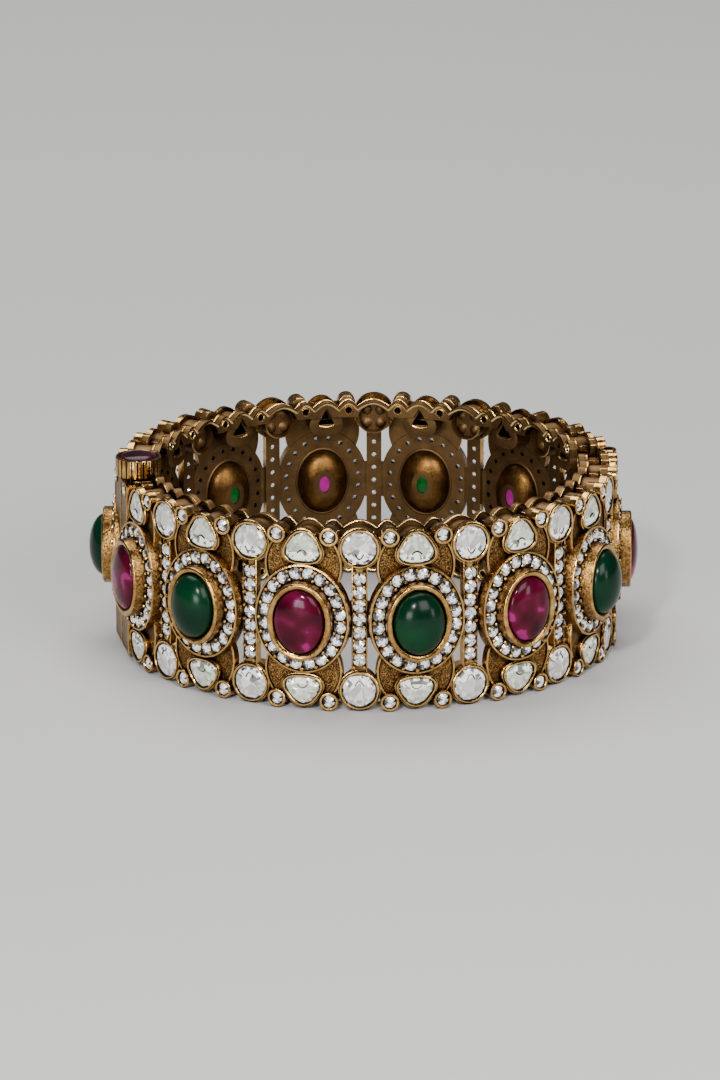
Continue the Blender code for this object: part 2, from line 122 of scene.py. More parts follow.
def newMaterial(name):
    material = bpy.data.materials.new(name)
    material.use_nodes = True
    tree = material.node_tree
    where = addNode(tree, "ShaderNodeTexCoord").outputs["Object"]
    return material, tree, tree.nodes["Principled BSDF"], where


# shares that hold for every finish of the gold
gold = {
    "edgeFrom": 0.45, "edgeTo": 0.95, "grainFrom": 0.3, "grainTo": 0.7, "stainDetail": 4, "grainDetail": 3,
}


def goldFinish(name, look):
    # Brass with antique gold plating: worn bright on its edges, brown oxide left in the hollows
    material, tree, shader, where = newMaterial(name)
    stain = addNoise(tree, where, look["stainSize"], gold["stainDetail"])
    grain = addNoise(tree, where, look["grainSize"], gold["grainDetail"])
    mottle = addNode(tree, "ShaderNodeMix", {}, {0: look["grainShare"], 2: stain, 3: grain})
    tone = addRamp(tree, mottle.outputs[0], look["tones"])
    edges = addNode(
        tree, "ShaderNodeAmbientOcclusion", {"samples": 6, "inside": True, "only_local": True},
        {"Distance": look["wearReach"] * mm},
    )
    wear = addNode(tree, "ShaderNodeMapRange", {}, {
        "Value": edges.outputs["AO"], "From Min": gold["edgeFrom"], "From Max": gold["edgeTo"],
        "To Min": 1, "To Max": 0,
    })
    worn = mixColours(tree, wear.outputs[0], tone, linear(look["worn"]))
    hollows = addNode(
        tree, "ShaderNodeAmbientOcclusion", {"samples": 8}, {"Distance": look["hollowReach"] * mm}
    )
    depth = addNode(tree, "ShaderNodeMapRange", {}, {
        "Value": hollows.outputs["AO"], "From Min": look["hollowFrom"], "From Max": look["hollowTo"],
    })
    rough = addNode(tree, "ShaderNodeMapRange", {}, {
        "Value": grain, "From Min": gold["grainFrom"], "From Max": gold["grainTo"],
        "To Min": look["roughness"] - look["unevenness"], "To Max": look["roughness"] + look["unevenness"],
    })
    bump = addNode(tree, "ShaderNodeBump", {}, {
        "Height": grain, "Strength": look["bump"], "Distance": look["grainSize"] * mm * 0.5,
    })
    colour = mixColours(tree, depth.outputs[0], linear(look["oxide"]), worn)
    fillInputs(tree, shader, {
        "Base Color": colour, "Roughness": rough.outputs[0], "Normal": bump.outputs[0], "Metallic": 1,
    })
    return material


# cast and polished: plate faces, bezels, bars and beads
polishedGold = goldFinish("antiqueGoldPolished", {
    "tones": [(0.32, "#8a6332"), (0.5, "#bd9152"), (0.68, "#e4bb74")],
    "worn": "#fbd085", "wearReach": 0.1, "oxide": "#150b05",
    "hollowReach": 0.8, "hollowFrom": 0.44, "hollowTo": 0.93,
    "stainSize": 1.3, "grainSize": 0.42, "grainShare": 0.3,
    "roughness": 0.17, "unevenness": 0.05, "bump": 0.2,
})
# blasted with grit, drawn as grains of 0.16 mm so that it shows: the fields of the ears and side plates
sandblastedGold = goldFinish("antiqueGoldSandblasted", {
    "tones": [(0.38, "#22160a"), (0.5, "#5a401f"), (0.62, "#b38850")],
    "worn": "#d2ad70", "wearReach": 0.06, "oxide": "#241206",
    "hollowReach": 1.0, "hollowFrom": 0.25, "hollowTo": 0.9,
    "stainSize": 1.1, "grainSize": 0.16, "grainShare": 0.8,
    "roughness": 0.38, "unevenness": 0.1, "bump": 1.0,
})
# blackened with liver of sulphur and left: channels and hollows
oxidisedGold = goldFinish("antiqueGoldOxidised", {
    "tones": [(0.3, "#1e1007"), (0.55, "#2f1b0b"), (0.8, "#482d14")],
    "worn": "#8a642f", "wearReach": 0.08, "oxide": "#0d0603",
    "hollowReach": 1.2, "hollowFrom": 0.15, "hollowTo": 0.85,
    "stainSize": 1.8, "grainSize": 0.35, "grainShare": 0.2,
    "roughness": 0.36, "unevenness": 0.05, "bump": 0.1,
})
# filed flat and never burnished: the inside of the plates, the ribbons and the stems
filedGold = goldFinish("antiqueGoldFiled", {
    "tones": [(0.3, "#5a442a"), (0.55, "#705535"), (0.8, "#876a42")],
    "worn": "#876a42", "wearReach": 0.05, "oxide": "#1c1008",
    "hollowReach": 0.6, "hollowFrom": 0.2, "hollowTo": 0.7,
    "stainSize": 2.2, "grainSize": 0.25, "grainShare": 0.25,
    "roughness": 0.5, "unevenness": 0.06, "bump": 0.12,
})
# blackened, then rubbed with a cloth: the domes behind the ovals
rubbedGold = goldFinish("antiqueGoldRubbed", {
    "tones": [(0.3, "#4d351a"), (0.55, "#725029"), (0.8, "#a07740")],
    "worn": "#c59b5c", "wearReach": 0.08, "oxide": "#241509",
    "hollowReach": 0.9, "hollowFrom": 0.05, "hollowTo": 0.7,
    "stainSize": 1.6, "grainSize": 0.3, "grainShare": 0.25,
    "roughness": 0.37, "unevenness": 0.06, "bump": 0.2,
})
# painted highlight: brighter, rougher gold that stands in for the highlights on the crests of the rim
# settings and the edges of the ribbons
paintedHighlightGold = goldFinish("antiqueGoldPaintedHighlight", {
    "tones": [(0.32, "#b08346"), (0.5, "#d9aa62"), (0.68, "#f5cd88")],
    "worn": "#ffe0a0", "wearReach": 0.1, "oxide": "#3a2410",
    "hollowReach": 0.5, "hollowFrom": 0.1, "hollowTo": 0.6,
    "stainSize": 1.3, "grainSize": 0.3, "grainShare": 0.35,
    "roughness": 0.24, "unevenness": 0.06, "bump": 0.15,
})
# wire-brushed to a satin: the side walls of plates and tall bezels
satinGold = goldFinish("antiqueGoldSatin", {
    "tones": [(0.34, "#543a1c"), (0.5, "#8a6535"), (0.66, "#c2965a")],
    "worn": "#e6bd7c", "wearReach": 0.1, "oxide": "#241206",
    "hollowReach": 0.9, "hollowFrom": 0.3, "hollowTo": 0.9,
    "stainSize": 1.2, "grainSize": 0.3, "grainShare": 0.55,
    "roughness": 0.3, "unevenness": 0.08, "bump": 0.6,
})
finishes = [polishedGold, sandblastedGold, oxidisedGold, filedGold, rubbedGold, paintedHighlightGold, satinGold]
polished, sandblasted, oxidised, filed, rubbed, highlightPainted, satin = range(len(finishes))


def facetedStone(name, look):
    # Cut stone over bright foil: each facet's brightness is painted, standing in for the light that it throws
    # back, noise streaks that painted brightness, and the emission is a painted glow
    material, tree, shader, where = newMaterial(name)
    facet = addNode(tree, "ShaderNodeAttribute", {"attribute_name": "facet"})
    streak = addNoise(tree, where, look["streakSize"])
    light = addNode(
        tree, "ShaderNodeMath", {"operation": "MULTIPLY_ADD"},
        {0: streak, 1: look["streaks"], 2: facet.outputs["Fac"]},
    )
    colour = addRamp(tree, light.outputs[0], look["tones"])
    fillInputs(tree, shader, {
        "Base Color": colour, "Emission Color": colour, "Emission Strength": look["paintedGlow"],
        "Metallic": look["foil"], "Roughness": look["roughness"], "IOR": look["ior"],
    })
    return material


zirconia = facetedStone("cubicZirconiaBrilliantCut", {
    "tones": [(0.12, "#100f0e"), (0.35, "#5c5957"), (0.56, "#cac7c4"), (0.76, "#ffffff")],
    "streakSize": 0.35, "streaks": 0.3, "paintedGlow": 0.4, "foil": 0.45, "roughness": 0.1, "ior": 2.16,
})
roundPolki = facetedStone("polkiGlassFoilBacked", {
    "tones": [(0.1, "#141414"), (0.34, "#757371"), (0.6, "#c6c1bd"), (0.9, "#ffffff")],
    "streakSize": 0.9, "streaks": 0.2, "paintedGlow": 0.25, "foil": 0.3, "roughness": 0.06, "ior": 1.6,
})
pearPolki = facetedStone("polkiGlassPaleFoilBacked", {
    "tones": [(0.1, "#13140f"), (0.34, "#72766a"), (0.6, "#c2c4b4"), (0.9, "#fdfff2")],
    "streakSize": 0.9, "streaks": 0.2, "paintedGlow": 0.25, "foil": 0.3, "roughness": 0.06, "ior": 1.6,
})


def cabochonGlass(name, look):
    # Domed glass polished by hand: deep in the middle and clouded, with painted light: the colour is lighter
    # low in the stone
    material, tree, shader, where = newMaterial(name)
    height = addNode(tree, "ShaderNodeSeparateXYZ", {}, {"Vector": where}).outputs["Z"]
    spread = look["spread"] * mm
    paintedLowLight = addNode(
        tree, "ShaderNodeMapRange", {},
        {"Value": height, "From Min": midHeight + spread, "From Max": midHeight - spread},
    )
    cloud = addNoise(tree, where, look["cloudSize"], 1.5)
    light = addNode(
        tree, "ShaderNodeMath", {"operation": "MULTIPLY_ADD"},
        {0: paintedLowLight.outputs[0], 1: look["paintedLowLight"], 2: cloud},
    )
    fillInputs(tree, shader, {
        "Base Color": addRamp(tree, light.outputs[0], look["tones"]), "Roughness": look["roughness"],
        "IOR": look["ior"], "Specular IOR Level": look["gloss"],
    })
    return material


# the magenta top tone, where the clouds run high, is a painted reflection
rubyGlass = cabochonGlass("rubyGlassCabochon", {
    "tones": [(0.36, "#2c0210"), (0.56, "#48051c"), (0.66, "#5a0a30"), (0.7, "#84205c")],
    "spread": 6, "paintedLowLight": 0.12, "cloudSize": 3.0, "roughness": 0.13, "gloss": 0.13, "ior": 1.6,
})
# seen from above against the dark setting: a darker copy of the ruby glass, painted shade where the overhead
# light falls full on it
shadedKnobGlass = cabochonGlass("rubyGlassThumbScrewShaded", {
    "tones": [(0.36, "#1a040d"), (0.56, "#2c0816"), (0.72, "#3c0f26")],
    "spread": 6, "paintedLowLight": 0.1, "cloudSize": 1.5, "roughness": 0.16, "gloss": 0.14, "ior": 1.6,
})
emeraldGlass = cabochonGlass("emeraldGlassCabochon", {
    "tones": [(0.3, "#001a0e"), (0.6, "#012815"), (0.85, "#03381b")],
    "spread": 7, "paintedLowLight": 0.12, "cloudSize": 5, "roughness": 0.2, "gloss": 0.15, "ior": 1.55,
})

backLight = {"cloudSize": 0.8, "paintedBackGlow": 0.25, "roughness": 0.15, "gloss": 0.3}


def litGlass(name, colour, glow):
    # Back of a stone seen through the dome's tip: a painted glow, emission that stands in for the daylight
    # from the front coming through it
    material, tree, shader, where = newMaterial(name)
    tone = mixColours(tree, addNoise(tree, where, backLight["cloudSize"]), linear(colour), linear(glow))
    fillInputs(tree, shader, {
        "Base Color": tone, "Emission Color": tone, "Emission Strength": backLight["paintedBackGlow"],
        "Roughness": backLight["roughness"], "Specular IOR Level": backLight["gloss"],
    })
    return material


litRuby = litGlass("rubyGlassBackLit", "#7a0a5c", "#a01a80")
litEmerald = litGlass("emeraldGlassBackLit", "#003a10", "#005218")
print("materials ready")


# bench work
def endEdit():
    bpy.ops.object.mode_set(mode="OBJECT")


def deselectAll():
    if bpy.context.object and bpy.context.object.mode != "OBJECT":
        endEdit()
    bpy.ops.object.select_all(action="DESELECT")


def activate(piece):
    deselectAll()
    piece.select_set(True)
    bpy.context.view_layer.objects.active = piece


def takePiece(materials=finishes):
    piece = bpy.context.object
    bpy.ops.object.transform_apply()
    for material in materials:
        piece.data.materials.append(material)
    return piece


def addOval(halfWidth, halfHeight, back, face, x=0, y=0, sides=24, materials=finishes):
    deselectAll()
    bpy.ops.mesh.primitive_cylinder_add(
        vertices=sides, radius=halfWidth, depth=face - back, location=(x, y, (back + face) / 2)
    )
    bpy.context.object.scale.y = halfHeight / halfWidth
    return takePiece(materials)


def addRound(radius, back, face, x=0, y=0, sides=24, materials=finishes):
    return addOval(radius, radius, back, face, x, y, sides, materials)


def addBox(width, height, back, face, x=0, y=0):
    deselectAll()
    bpy.ops.mesh.primitive_cube_add(size=1, location=(x, y, (back + face) / 2))
    bpy.context.object.scale = (width, height, face - back)
    return takePiece()


def addWire(halfWidth, halfHeight, thickness, level, x=0, y=0, steps=56, sides=8):
    deselectAll()
    bpy.ops.mesh.primitive_torus_add(
        major_segments=steps, minor_segments=sides, major_radius=halfWidth,
        minor_radius=thickness / 2, location=(x, y, level),
    )
    bpy.context.object.scale.y = halfHeight / halfWidth
    return takePiece()


def addBeads(places, radius, level, squash=0.9):
    # grains of gold pushed up over the stones' edges
    beads = []
    deselectAll()
    bpy.ops.mesh.primitive_uv_sphere_add(segments=8, ring_count=5, radius=radius)
    bpy.context.object.scale.z = squash
    first = takePiece()
    for x, y in places:
        beads.append(copyTo(first, Matrix.Translation((x, y, level))))
    bpy.data.objects.remove(first)
    return joined(beads)


def copyTo(piece, matrix):
    copy = piece.copy()
    copy.data = piece.data.copy()
    bpy.context.collection.objects.link(copy)
    copy.matrix_world = matrix @ piece.matrix_world
    return copy


def joined(pieces):
    deselectAll()
    for piece in pieces:
        piece.select_set(True)
    bpy.context.view_layer.objects.active = pieces[0]
    bpy.ops.object.join()
    bpy.ops.object.transform_apply()
    return bpy.context.object


def facesOut(face):
    return face.normal.z > 0.9


def facesIn(face):
    return face.normal.z < -0.9


def facesAside(face):
    return abs(face.normal.z) < 0.3


def paint(piece, finish, test=None):
    for face in piece.data.polygons:
        if test is None or test(face):
            face.material_index = finish


def pickFaces(piece, test):
    activate(piece)
    bpy.ops.object.mode_set(mode="EDIT")
    bpy.ops.mesh.select_mode(type="FACE")
    bpy.ops.mesh.select_all(action="DESELECT")
    endEdit()
    for face in piece.data.polygons:
        face.select = test(face)
    bpy.ops.object.mode_set(mode="EDIT")


def pickAll(piece):
    activate(piece)
    bpy.ops.object.mode_set(mode="EDIT")
    bpy.ops.mesh.select_all(action="SELECT")


def drawOut(rise):
    bpy.ops.mesh.extrude_region_move(TRANSFORM_OT_translate={"value": (0, 0, rise)})


def workRings(piece, rings, last):
    # works the picked face inwards: width, rise and finish of each ring, then the finish of what is left
    for width, rise, finish in rings:
        piece.active_material_index = finish
        bpy.ops.object.material_slot_assign()
        if width:
            bpy.ops.mesh.inset(thickness=width, depth=rise)
        else:
            drawOut(rise)
    piece.active_material_index = last
    bpy.ops.object.material_slot_assign()
    endEdit()


def bisectFlat(level, keepAbove):
    bpy.ops.mesh.select_all(action="SELECT")
    bpy.ops.mesh.bisect(
        plane_co=(0, 0, level), plane_no=(0, 0, 1), use_fill=True,
        clear_inner=keepAbove, clear_outer=not keepAbove,
    )


def cutWith(piece, cutters):
    # walls left by a cut are never burnished
    cutter = joined(cutters)
    paint(cutter, oxidised)
    activate(piece)
    cut = piece.modifiers.new("cut", "BOOLEAN")
    cut.operation = "DIFFERENCE"
    cut.solver = "EXACT"
    cut.object = cutter
    bpy.ops.object.modifier_apply(modifier=cut.name)
    bpy.data.objects.remove(cutter)


def drill(piece, radius, places):
    # light holes behind the small stones
    cutWith(piece, [addRound(radius, band["cutBack"], band["cutFace"], x, y, sides=10) for x, y in places])


def softenEdges(piece, width, segments=2, angle=40, finish=-1):
    activate(piece)
    bevel = piece.modifiers.new("soft edges", "BEVEL")
    bevel.width = width
    bevel.segments = segments
    bevel.material = finish
    bevel.limit_method = "ANGLE"
    bevel.angle_limit = radians(angle)
    bpy.ops.object.modifier_apply(modifier=bevel.name)


def ovalPlaces(count, halfWidth, halfHeight, offset=0.0):
    # points spaced evenly along an oval, from its lowest point
    steps = 720
    turns = [2 * pi * step / steps for step in range(steps + 1)]
    points = [(halfWidth * sin(turn), -halfHeight * cos(turn)) for turn in turns]
    lengths = [0.0]
    for (ax, ay), (bx, by) in zip(points, points[1:]):
        lengths.append(lengths[-1] + hypot(bx - ax, by - ay))
    places = []
    for number in range(count):
        target = (number + offset) / count * lengths[-1]
        index = next(i for i, length in enumerate(lengths) if length >= target)
        places.append(points[index])
    return places


def mount(place, lower=False):
    # places count round the band in units: whole numbers are the bars, halves the ovals between them
    turn = Matrix.Rotation(place * pitch, 4, "Z")
    stand = Matrix.Translation((0, 0, midHeight)) @ Matrix.Rotation(pi / 2, 4, "X")
    return turn @ stand @ Matrix.Rotation(pi * lower, 4, "Z") @ Matrix.Scale(mm, 4)


def setOut(masters, places, rims=(False,)):
    return [copyTo(master, mount(place, lower)) for master in masters for place in places for lower in rims]


def setOutMixed(masters, places, lower):
    # the cuts of a stone come round in turn
    first = chance.randrange(len(masters))
    return [
        copyTo(masters[(first + number) % len(masters)], mount(place, lower))
        for number, place in enumerate(places)
    ]


def removeAll(masters):
    for master in masters:
        bpy.data.objects.remove(master)


def finishPiece(name, copies, body, node, angle=35):
    piece = joined(copies)
    piece.name = name
    piece.data.name = name
    if angle:
        bpy.ops.object.shade_smooth_by_angle(angle=radians(angle))
    else:
        bpy.ops.object.shade_flat()
    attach(piece, body)
    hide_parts(node)


def finishFacets(name, copies, body, node):
    finishPiece(name, copies, body, node, 0)


# small stones
brilliant = {
    "sides": 12, "crown": 0.24, "tableShare": 0.56, "point": 0.02, "pavilion": 1.3,
    "facets": (0.06, 0.85, 0.35, 0.7, 0.5, 0.85, 0.28), "backFacetLights": (0.2, 0.95, 0.95, 0.95),
}


def steadyFaces(stone, isWall, middle=0.0):
    # extruding numbers its new walls differently in each run: they are taken in turn round the stone instead
    faces = list(stone.data.polygons)
    walls = sorted(filter(isWall, faces), key=lambda face: atan2(face.center.y - middle, face.center.x))
    return [walls.pop(0) if isWall(face) else face for face in faces]


def shadeFacets(stone):
    # painted light: bright and dark facets in even measure; those of the back are painted bright as if the
    # daylight shone behind them
    values = stone.data.attributes.new("facet", "FLOAT", "FACE").data
    faces = steadyFaces(stone, lambda face: face.normal.z < 0)
    chance.shuffle(faces)
    for number, face in enumerate(faces):
        if face.normal.z < 0:
            values[face.index].value = chance.choice(brilliant["backFacetLights"])
        else:
            values[face.index].value = brilliant["facets"][number % len(brilliant["facets"])]


def makeZirconia(radius, level):
    deselectAll()
    bpy.ops.mesh.primitive_cone_add(
        vertices=brilliant["sides"], radius1=radius, radius2=radius * brilliant["tableShare"],
        depth=brilliant["crown"], location=(0, 0, level + brilliant["crown"] / 2),
    )
    stone = takePiece([zirconia])
    pickFaces(stone, facesOut)
    bpy.ops.mesh.poke(offset=brilliant["point"])
    pickFaces(stone, facesIn)
    drawOut(-brilliant["pavilion"])
    bpy.ops.mesh.merge(type="CENTER")
    endEdit()
    shadeFacets(stone)
    return stone


def scatterZirconia(radius, level, places):
    # the same stone at each place, each turned its own way
    master = makeZirconia(radius, level)
    stones = [
        copyTo(master, Matrix.Translation((x, y, 0)) @ Matrix.Rotation(chance.uniform(0, 2 * pi), 4, "Z"))
        for x, y in places
    ]
    bpy.data.objects.remove(master)
    return joined(stones)


# halo plates
halo = {
    "halfWidth": 6.45, "halfHeight": 7.5, "wall": 34.1,
    "stones": 20, "stoneRadius": 0.82, "stoneLevel": 34.14, "rowHalfWidth": 5.2, "rowHalfHeight": 6.27,
    "hole": 0.34, "bead": 0.29, "beadLevel": 34.46, "beadSpread": 0.6,
}
haloRings = [      # a wire, then the channel for the stones
    (0.05, 0.16, polished), (0.2, 0.04, polished), (0.05, -0.22, polished), (0.05, 0.0, oxidised),
    (0.04, -0.1, polished),
]


def makeHalo():
    plate = addOval(halo["halfWidth"], halo["halfHeight"], band["plateBack"], halo["wall"], sides=80)
    paint(plate, satin, facesAside)
    pickFaces(plate, facesOut)
    workRings(plate, haloRings, last=polished)
    paint(plate, filed, facesIn)
    places = ovalPlaces(halo["stones"], halo["rowHalfWidth"], halo["rowHalfHeight"], 0.5)
    drill(plate, halo["hole"], places)
    beads = []
    for x, y in ovalPlaces(halo["stones"], halo["rowHalfWidth"], halo["rowHalfHeight"]):
        length = hypot(x, y)
        for side in (-halo["beadSpread"], halo["beadSpread"]):
            beads.append((x * (1 + side / length), y * (1 + side / length)))
    stones = scatterZirconia(halo["stoneRadius"], halo["stoneLevel"], places)
    return [plate, addBeads(beads, halo["bead"], halo["beadLevel"])], stones


# bezels, back domes and cabochons
bezel = {"halfWidth": 4.35, "halfHeight": 5.3, "foot": 33.7, "wall": 35.85}
bezelRings = [
    (0.08, 0.12, polished), (0.12, 0.08, polished), (0.14, 0.0, polished), (0.26, -0.07, polished),
    (0.2, -0.1, polished), (0.1, -0.12, polished), (0.05, -0.35, oxidised),
]


def makeBezel():
    collar = addOval(bezel["halfWidth"], bezel["halfHeight"], bezel["foot"], bezel["wall"], sides=64)
    paint(collar, satin, facesAside)
    pickFaces(collar, facesOut)
    workRings(collar, bezelRings, last=oxidised)
    return collar


dome = {
    "halfWidth": 3.5, "halfHeight": 4.5, "rise": 2.05, "level": 32.6, "tip": 30.75,
    "ring": 0.7, "recess": 0.3, "footMargin": 0.2, "footWire": 0.4, "footRise": 0.08,
}


def makeBackDome():
    deselectAll()
    bpy.ops.mesh.primitive_uv_sphere_add(segments=48, ring_count=24, radius=1, location=(0, 0, dome["level"]))
    bpy.context.object.scale = (dome["halfWidth"], dome["halfHeight"], dome["rise"])
    shell = takePiece()
    bpy.ops.object.mode_set(mode="EDIT")
    bisectFlat(dome["level"], keepAbove=False)
    bisectFlat(dome["tip"], keepAbove=True)
    endEdit()
    paint(shell, rubbed)
    pickFaces(shell, lambda face: facesIn(face) and face.center.z < dome["tip"] + 0.01)
    workRings(shell, [(dome["ring"], 0.0, filed), (0, dome["recess"], oxidised)], last=oxidised)
    margin = dome["footMargin"]
    level = band["plateBack"] + dome["footRise"]
    foot = addWire(dome["halfWidth"] + margin, dome["halfHeight"] + margin, dome["footWire"], level)
    paint(foot, filed)
    return [shell, foot]


cabochon = {
    "halfWidth": {"emerald": 3.39, "ruby": 3.36}, "halfHeight": 4.35, "girdle": 35.72, "back": 35.2,
    "apex": {"emerald": 38.0, "ruby": 36.95},
    "tipHalfWidth": 0.78, "tipHalfHeight": 1.2, "tipBack": 30.9, "tipFace": 31.3, "tipEdge": 0.08,
}


def addDomed(halfWidth, halfHeight, apex, girdle, back, sides, steps, material):
    # domed stone with a short straight foot
    deselectAll()
    bpy.ops.mesh.primitive_uv_sphere_add(segments=sides, ring_count=steps, radius=1, location=(0, 0, girdle))
    bpy.context.object.scale = (halfWidth, halfHeight, apex - girdle)
    stone = takePiece([material])
    bpy.ops.object.mode_set(mode="EDIT")
    bisectFlat(girdle, keepAbove=True)
    pickFaces(stone, facesIn)
    drawOut(back - girdle)
    endEdit()
    return stone


def makeCabochon(kind):
    material, lit = {"ruby": (rubyGlass, litRuby), "emerald": (emeraldGlass, litEmerald)}[kind]
    stone = addDomed(
        cabochon["halfWidth"][kind], cabochon["halfHeight"], cabochon["apex"][kind], cabochon["girdle"],
        cabochon["back"], 56, 32, material,
    )
    tip = addOval(
        cabochon["tipHalfWidth"], cabochon["tipHalfHeight"], cabochon["tipBack"], cabochon["tipFace"],
        sides=28, materials=[lit],
    )
    softenEdges(tip, cabochon["tipEdge"])
    return [stone, tip]


# discs behind the pears
disc = {"radius": 5.3, "centre": 7.2, "wall": 33.2, "trim": 11.5, "underHalo": 0.12}
discRings = [
    (0.05, 0.2, polished), (0.22, 0.05, polished), (0.05, -0.24, polished), (0.12, -0.04, oxidised),
    (0.04, 0.06, sandblasted),
]


def makeDisc():
    plate = addRound(disc["radius"], band["plateBack"], disc["wall"], y=disc["centre"], sides=72)
    paint(plate, satin, facesAside)
    pickFaces(plate, facesOut)
    workRings(plate, discRings, last=sandblasted)
    paint(plate, filed, facesIn)
    # the halo plate takes the middle, the rim settings the far end
    halfWidth, halfHeight = halo["halfWidth"] - disc["underHalo"], halo["halfHeight"] - disc["underHalo"]
    cutWith(plate, [addOval(halfWidth, halfHeight, band["cutBack"], band["cutFace"], sides=64)])
    pickAll(plate)
    bpy.ops.mesh.bisect(plane_co=(0, disc["trim"], 0), plane_no=(0, 1, 0), use_fill=True, clear_outer=True)
    endEdit()
    return [plate]


def addCurve(points, level, thickness, closed):
    # closed points give a flat plate, open ones a round wire
    shape = bpy.data.curves.new("shape", "CURVE")
    shape.dimensions = "2D"
    shape.fill_mode = "BOTH"
    if closed:
        shape.extrude = thickness / 2
    else:
        shape.bevel_depth = thickness / 2
        shape.bevel_resolution = 2
        shape.use_fill_caps = True
    spline = shape.splines.new("POLY")
    spline.points.add(len(points) - 1)
    for point, (x, y) in zip(spline.points, points):
        point.co = (x, y, 0, 1)
    spline.use_cyclic_u = closed
    piece = bpy.data.objects.new("shape", shape)
    piece.location.z = level
    bpy.context.collection.objects.link(piece)
    activate(piece)
    bpy.ops.object.convert(target="MESH")


def addPlate(outline, back, face):
    addCurve(outline, (back + face) / 2, face - back, closed=True)
    pickAll(bpy.context.object)
    bpy.ops.mesh.remove_doubles(threshold=0.0005)
    bpy.ops.mesh.normals_make_consistent(inside=False)
    endEdit()
    return takePiece()


def addBent(points, level, thickness):
    addCurve(points, level, thickness, closed=False)
    return takePiece()


def addSag(halfWidth, drop, y, level, thickness, steps=10):
    # wire that sags to its middle between two ends at y
    points = [(halfWidth * (2 * step / steps - 1), y) for step in range(steps + 1)]
    points = [(x, y - drop * (1 - (x / halfWidth)**2)) for x, y in points]
    return addBent(points, level, thickness)


# rim settings
# the crest ring is painted bright: a painted highlight
settingRings = [
    (0.05, 0.07, polished), (0.07, 0.02, polished), (0.05, -0.07, oxidised), (0.04, 0.2, polished),
    (0.09, 0.07, polished), (0.12, 0.0, highlightPainted), (0.1, -0.09, polished), (0.05, -0.25, oxidised),
]
polki = {
    "strokes": 4, "strokeX": 0.7, "strokeY": 0.8, "unevenness": 0.045,
    "slopeLights": (0.05, 0.3, 0.55, 0.85), "lowTableLights": (0.25, 0.75, 1.0, 1.0), "tableLights": (0.36, 0.66),
    "lowFrom": 0.5, "markHalfWidth": 0.62, "markThickness": 0.32, "markFacet": -0.2,
}


def makePolki(stone, rings, girdle):
    # flat-cut stone: a narrow sloping edge and a table crossed by strokes of the cutter's wheel
    pickFaces(stone, facesOut)
    for width, rise in rings:
        bpy.ops.mesh.inset(thickness=width, depth=rise)
    middle = sum(vertex.co.y for vertex in stone.data.vertices) / len(stone.data.vertices)
    for _ in range(polki["strokes"]):
        turn = chance.uniform(0, pi)
        x = chance.uniform(-polki["strokeX"], polki["strokeX"])
        y = middle + chance.uniform(-polki["strokeY"], polki["strokeY"])
        bpy.ops.mesh.select_all(action="SELECT")
        bpy.ops.mesh.bisect(plane_co=(x, y, 0), plane_no=(sin(turn), cos(turn), 0))
    bpy.ops.mesh.select_all(action="SELECT")
    bpy.ops.transform.vertex_random(offset=polki["unevenness"], seed=chance.randrange(100))
    endEdit()
    # painted reflections: each facet gets its own brightness, and the low part of the table is painted
    # brighter
    values = stone.data.attributes.new("facet", "FLOAT", "FACE").data
    for face in steadyFaces(stone, lambda face: face.center.z < girdle, middle):
        if not facesOut(face):
            value = chance.choice(polki["slopeLights"])
        elif face.center.y < middle - polki["lowFrom"]:
            value = chance.choice(polki["lowTableLights"])
        else:
            value = chance.uniform(*polki["tableLights"])
        values[face.index].value = value
    return stone


def makeMark(y, level, drop, material):
    # small dark bow low in the table
    mark = addSag(polki["markHalfWidth"], drop, y, level, polki["markThickness"])
    mark.data.materials.clear()
    mark.data.materials.append(material)
    values = mark.data.attributes.new("facet", "FLOAT", "FACE")
    for value in values.data:
        value.value = polki["markFacet"]
    return mark


roundSet = {
    "radius": 2.86, "y": 9.78, "foot": 32.7, "wall": 33.55,
    "stoneRadius": 2.24, "stoneFoot": 33.35, "stoneWall": 0.2,
    "stoneRings": [(0.14, 0.12), (0.32, 0.1), (0.5, 0.05)],
    "markDown": 0.7, "markRise": 0.44, "markDrop": 0.75,
}
# the settings open backwards, behind the ribbons
roundBack = {"radius": 2.24, "end": 29.95, "depth": 1.0, "lump": 0.86, "lumpSpread": 0.95, "lumpSquash": 0.6}
roundBackRings = [(0.08, 0.05, polished), (0.14, 0.02, filed), (0.1, -roundBack["depth"], filed)]


def makeRound():
    y = roundSet["y"]
    collet = addRound(roundSet["radius"], roundSet["foot"], roundSet["wall"], y=y, sides=44)
    pickFaces(collet, facesOut)
    workRings(collet, settingRings, last=oxidised)
    back = addRound(roundBack["radius"], roundBack["end"], roundSet["foot"] + 0.05, y=y, sides=44)
    paint(back, filed)
    pickFaces(back, facesIn)
    workRings(back, roundBackRings, last=filed)
    sides = (-roundBack["lumpSpread"], roundBack["lumpSpread"])
    lumpLevel = roundBack["end"] + roundBack["depth"] + 0.1
    lumpPlaces = [(across, y + up) for across in sides for up in sides]
    lumps = addBeads(lumpPlaces, roundBack["lump"], lumpLevel, roundBack["lumpSquash"])
    paint(lumps, filed)
    return [collet, back, lumps]


def makeRoundStone():
    y, foot = roundSet["y"], roundSet["stoneFoot"]
    girdle = foot + roundSet["stoneWall"]
    blank = addRound(roundSet["stoneRadius"], foot, girdle, y=y, sides=26, materials=[roundPolki])
    stone = makePolki(blank, roundSet["stoneRings"], girdle)
    mark = makeMark(y - roundSet["markDown"], foot + roundSet["markRise"], roundSet["markDrop"], roundPolki)
    return joined([stone, mark])


